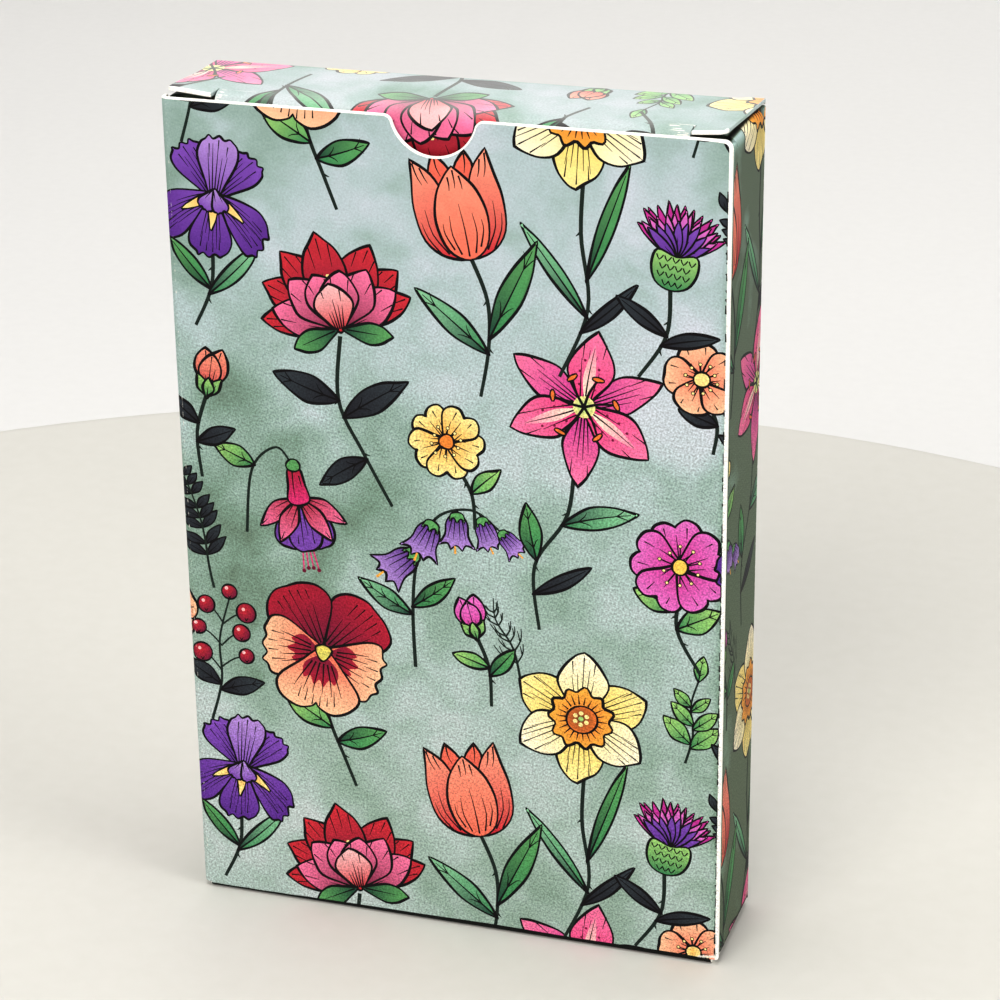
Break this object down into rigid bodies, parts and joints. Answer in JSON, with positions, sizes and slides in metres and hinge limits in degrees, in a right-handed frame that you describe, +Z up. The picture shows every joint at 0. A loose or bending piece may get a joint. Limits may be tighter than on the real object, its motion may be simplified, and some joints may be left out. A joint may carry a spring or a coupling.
{
  "type": "card deck in a tuck carton",
  "caption": "Paperboard tuck carton printed with a floral pattern, with a thumb notch, creased tuck lid and dust flaps, holding a deck of separate cards that slide up and out.",
  "frame": {"origin": "middle of the carton's base, on the surface it stands on", "axes": "+Z up along the carton's height, +X along its width to the right as seen from the front, -Y out of the front panel"},
  "size_m": [0.06, 0.0138, 0.0925],
  "materials": {
    "printed_board": "satin",
    "raw_board": "matte",
    "card_stock": "satin"
  },
  "bodies": {
    "carton": {"front_panel": "printed_board", "back_panel": "printed_board", "left_side_panel": "printed_board", "right_side_panel": "printed_board", "glue_flap": "raw_board", "bottom_outer_flap": "printed_board", "bottom_inner_flap": "raw_board", "bottom_left_flap": "raw_board", "bottom_right_flap": "raw_board"},
    "lid": {"lid_panel": "printed_board"},
    "tuck": {"tuck_flap": "printed_board"},
    "left_flap": {"left_dust_flap": "raw_board"},
    "right_flap": {"right_dust_flap": "raw_board"},
    "card_01": {"card_01": "card_stock"},
    "card_02": {"card_02": "card_stock"},
    "card_03": {"card_03": "card_stock"},
    "card_04": {"card_04": "card_stock"},
    "card_05": {"card_05": "card_stock"},
    "card_06": {"card_06": "card_stock"},
    "card_07": {"card_07": "card_stock"},
    "card_08": {"card_08": "card_stock"},
    "card_09": {"card_09": "card_stock"},
    "card_10": {"card_10": "card_stock"},
    "card_11": {"card_11": "card_stock"},
    "card_12": {"card_12": "card_stock"},
    "card_13": {"card_13": "card_stock"},
    "card_14": {"card_14": "card_stock"},
    "card_15": {"card_15": "card_stock"},
    "card_16": {"card_16": "card_stock"},
    "card_17": {"card_17": "card_stock"},
    "card_18": {"card_18": "card_stock"},
    "card_19": {"card_19": "card_stock"},
    "card_20": {"card_20": "card_stock"},
    "card_21": {"card_21": "card_stock"},
    "card_22": {"card_22": "card_stock"},
    "card_23": {"card_23": "card_stock"},
    "card_24": {"card_24": "card_stock"},
    "card_25": {"card_25": "card_stock"},
    "card_26": {"card_26": "card_stock"},
    "card_27": {"card_27": "card_stock"},
    "card_28": {"card_28": "card_stock"},
    "card_29": {"card_29": "card_stock"},
    "card_30": {"card_30": "card_stock"},
    "card_31": {"card_31": "card_stock"},
    "card_32": {"card_32": "card_stock"},
    "card_33": {"card_33": "card_stock"},
    "card_34": {"card_34": "card_stock"},
    "card_35": {"card_35": "card_stock"},
    "card_36": {"card_36": "card_stock"}
  },
  "joints": [
    {"name": "card_01_lift", "type": "slide", "parent": "carton", "child": "card_01", "axis": [0, 0, 1], "range_m": [0, 0.01663]},
    {"name": "lid_crease", "type": "hinge", "parent": "carton", "child": "lid", "pos_m": [0, 0.0067, 0.0923], "axis": [-1, 0, 0], "range_deg": [0, 175]},
    {"name": "tuck_crease", "type": "hinge", "parent": "lid", "child": "tuck", "pos_m": [0, -0.0061, 0.0923], "axis": [1, 0, 0], "range_deg": [0, 35]},
    {"name": "left_flap_crease", "type": "hinge", "parent": "carton", "child": "left_flap", "pos_m": [-0.0298, 0, 0.0917], "axis": [0, -1, 0], "range_deg": [0, 140]},
    {"name": "right_flap_crease", "type": "hinge", "parent": "carton", "child": "right_flap", "pos_m": [0.0298, 0, 0.0917], "axis": [0, 1, 0], "range_deg": [0, 140]},
    {"name": "card_02_lift", "type": "slide", "parent": "carton", "child": "card_02", "axis": [0, 0, 1], "range_m": [0, 0.01635]},
    {"name": "card_03_lift", "type": "slide", "parent": "carton", "child": "card_03", "axis": [0, 0, 1], "range_m": [0, 0.01608]},
    {"name": "card_04_lift", "type": "slide", "parent": "carton", "child": "card_04", "axis": [0, 0, 1], "range_m": [0, 0.0158]},
    {"name": "card_05_lift", "type": "slide", "parent": "carton", "child": "card_05", "axis": [0, 0, 1], "range_m": [0, 0.01553]},
    {"name": "card_06_lift", "type": "slide", "parent": "carton", "child": "card_06", "axis": [0, 0, 1], "range_m": [0, 0.01525]},
    {"name": "card_07_lift", "type": "slide", "parent": "carton", "child": "card_07", "axis": [0, 0, 1], "range_m": [0, 0.01498]},
    {"name": "card_08_lift", "type": "slide", "parent": "carton", "child": "card_08", "axis": [0, 0, 1], "range_m": [0, 0.0147]},
    {"name": "card_09_lift", "type": "slide", "parent": "carton", "child": "card_09", "axis": [0, 0, 1], "range_m": [0, 0.01443]},
    {"name": "card_10_lift", "type": "slide", "parent": "carton", "child": "card_10", "axis": [0, 0, 1], "range_m": [0, 0.01415]},
    {"name": "card_11_lift", "type": "slide", "parent": "carton", "child": "card_11", "axis": [0, 0, 1], "range_m": [0, 0.01388]},
    {"name": "card_12_lift", "type": "slide", "parent": "carton", "child": "card_12", "axis": [0, 0, 1], "range_m": [0, 0.0136]},
    {"name": "card_13_lift", "type": "slide", "parent": "carton", "child": "card_13", "axis": [0, 0, 1], "range_m": [0, 0.01333]},
    {"name": "card_14_lift", "type": "slide", "parent": "carton", "child": "card_14", "axis": [0, 0, 1], "range_m": [0, 0.01305]},
    {"name": "card_15_lift", "type": "slide", "parent": "carton", "child": "card_15", "axis": [0, 0, 1], "range_m": [0, 0.01277]},
    {"name": "card_16_lift", "type": "slide", "parent": "carton", "child": "card_16", "axis": [0, 0, 1], "range_m": [0, 0.0125]},
    {"name": "card_17_lift", "type": "slide", "parent": "carton", "child": "card_17", "axis": [0, 0, 1], "range_m": [0, 0.01223]},
    {"name": "card_18_lift", "type": "slide", "parent": "carton", "child": "card_18", "axis": [0, 0, 1], "range_m": [0, 0.01195]},
    {"name": "card_19_lift", "type": "slide", "parent": "carton", "child": "card_19", "axis": [0, 0, 1], "range_m": [0, 0.01168]},
    {"name": "card_20_lift", "type": "slide", "parent": "carton", "child": "card_20", "axis": [0, 0, 1], "range_m": [0, 0.0114]},
    {"name": "card_21_lift", "type": "slide", "parent": "carton", "child": "card_21", "axis": [0, 0, 1], "range_m": [0, 0.01112]},
    {"name": "card_22_lift", "type": "slide", "parent": "carton", "child": "card_22", "axis": [0, 0, 1], "range_m": [0, 0.01085]},
    {"name": "card_23_lift", "type": "slide", "parent": "carton", "child": "card_23", "axis": [0, 0, 1], "range_m": [0, 0.01057]},
    {"name": "card_24_lift", "type": "slide", "parent": "carton", "child": "card_24", "axis": [0, 0, 1], "range_m": [0, 0.0103]},
    {"name": "card_25_lift", "type": "slide", "parent": "carton", "child": "card_25", "axis": [0, 0, 1], "range_m": [0, 0.01003]},
    {"name": "card_26_lift", "type": "slide", "parent": "carton", "child": "card_26", "axis": [0, 0, 1], "range_m": [0, 0.00975]},
    {"name": "card_27_lift", "type": "slide", "parent": "carton", "child": "card_27", "axis": [0, 0, 1], "range_m": [0, 0.00948]},
    {"name": "card_28_lift", "type": "slide", "parent": "carton", "child": "card_28", "axis": [0, 0, 1], "range_m": [0, 0.0092]},
    {"name": "card_29_lift", "type": "slide", "parent": "carton", "child": "card_29", "axis": [0, 0, 1], "range_m": [0, 0.00893]},
    {"name": "card_30_lift", "type": "slide", "parent": "carton", "child": "card_30", "axis": [0, 0, 1], "range_m": [0, 0.00865]},
    {"name": "card_31_lift", "type": "slide", "parent": "carton", "child": "card_31", "axis": [0, 0, 1], "range_m": [0, 0.00838]},
    {"name": "card_32_lift", "type": "slide", "parent": "carton", "child": "card_32", "axis": [0, 0, 1], "range_m": [0, 0.0081]},
    {"name": "card_33_lift", "type": "slide", "parent": "carton", "child": "card_33", "axis": [0, 0, 1], "range_m": [0, 0.00783]},
    {"name": "card_34_lift", "type": "slide", "parent": "carton", "child": "card_34", "axis": [0, 0, 1], "range_m": [0, 0.00755]},
    {"name": "card_35_lift", "type": "slide", "parent": "carton", "child": "card_35", "axis": [0, 0, 1], "range_m": [0, 0.00728]},
    {"name": "card_36_lift", "type": "slide", "parent": "carton", "child": "card_36", "axis": [0, 0, 1], "range_m": [0, 0.007]}
  ],
  "couplings": [
    {"joint": "lid_crease", "follows": "card_01_lift", "rad_per_m": 183.72},
    {"joint": "tuck_crease", "follows": "card_01_lift", "rad_per_m": 36.743},
    {"joint": "left_flap_crease", "follows": "card_01_lift", "rad_per_m": 146.97},
    {"joint": "right_flap_crease", "follows": "card_01_lift", "rad_per_m": 146.97},
    {"joint": "card_02_lift", "follows": "card_01_lift", "ratio": 0.98346},
    {"joint": "card_03_lift", "follows": "card_01_lift", "ratio": 0.96692},
    {"joint": "card_04_lift", "follows": "card_01_lift", "ratio": 0.95038},
    {"joint": "card_05_lift", "follows": "card_01_lift", "ratio": 0.93383},
    {"joint": "card_06_lift", "follows": "card_01_lift", "ratio": 0.91729},
    {"joint": "card_07_lift", "follows": "card_01_lift", "ratio": 0.90075},
    {"joint": "card_08_lift", "follows": "card_01_lift", "ratio": 0.88421},
    {"joint": "card_09_lift", "follows": "card_01_lift", "ratio": 0.86767},
    {"joint": "card_10_lift", "follows": "card_01_lift", "ratio": 0.85113},
    {"joint": "card_11_lift", "follows": "card_01_lift", "ratio": 0.83459},
    {"joint": "card_12_lift", "follows": "card_01_lift", "ratio": 0.81805},
    {"joint": "card_13_lift", "follows": "card_01_lift", "ratio": 0.8015},
    {"joint": "card_14_lift", "follows": "card_01_lift", "ratio": 0.78496},
    {"joint": "card_15_lift", "follows": "card_01_lift", "ratio": 0.76842},
    {"joint": "card_16_lift", "follows": "card_01_lift", "ratio": 0.75188},
    {"joint": "card_17_lift", "follows": "card_01_lift", "ratio": 0.73534},
    {"joint": "card_18_lift", "follows": "card_01_lift", "ratio": 0.7188},
    {"joint": "card_19_lift", "follows": "card_01_lift", "ratio": 0.70226},
    {"joint": "card_20_lift", "follows": "card_01_lift", "ratio": 0.68571},
    {"joint": "card_21_lift", "follows": "card_01_lift", "ratio": 0.66917},
    {"joint": "card_22_lift", "follows": "card_01_lift", "ratio": 0.65263},
    {"joint": "card_23_lift", "follows": "card_01_lift", "ratio": 0.63609},
    {"joint": "card_24_lift", "follows": "card_01_lift", "ratio": 0.61955},
    {"joint": "card_25_lift", "follows": "card_01_lift", "ratio": 0.60301},
    {"joint": "card_26_lift", "follows": "card_01_lift", "ratio": 0.58647},
    {"joint": "card_27_lift", "follows": "card_01_lift", "ratio": 0.56992},
    {"joint": "card_28_lift", "follows": "card_01_lift", "ratio": 0.55338},
    {"joint": "card_29_lift", "follows": "card_01_lift", "ratio": 0.53684},
    {"joint": "card_30_lift", "follows": "card_01_lift", "ratio": 0.5203},
    {"joint": "card_31_lift", "follows": "card_01_lift", "ratio": 0.50376},
    {"joint": "card_32_lift", "follows": "card_01_lift", "ratio": 0.48722},
    {"joint": "card_33_lift", "follows": "card_01_lift", "ratio": 0.47068},
    {"joint": "card_34_lift", "follows": "card_01_lift", "ratio": 0.45414},
    {"joint": "card_35_lift", "follows": "card_01_lift", "ratio": 0.43759},
    {"joint": "card_36_lift", "follows": "card_01_lift", "ratio": 0.42105}
  ]
}
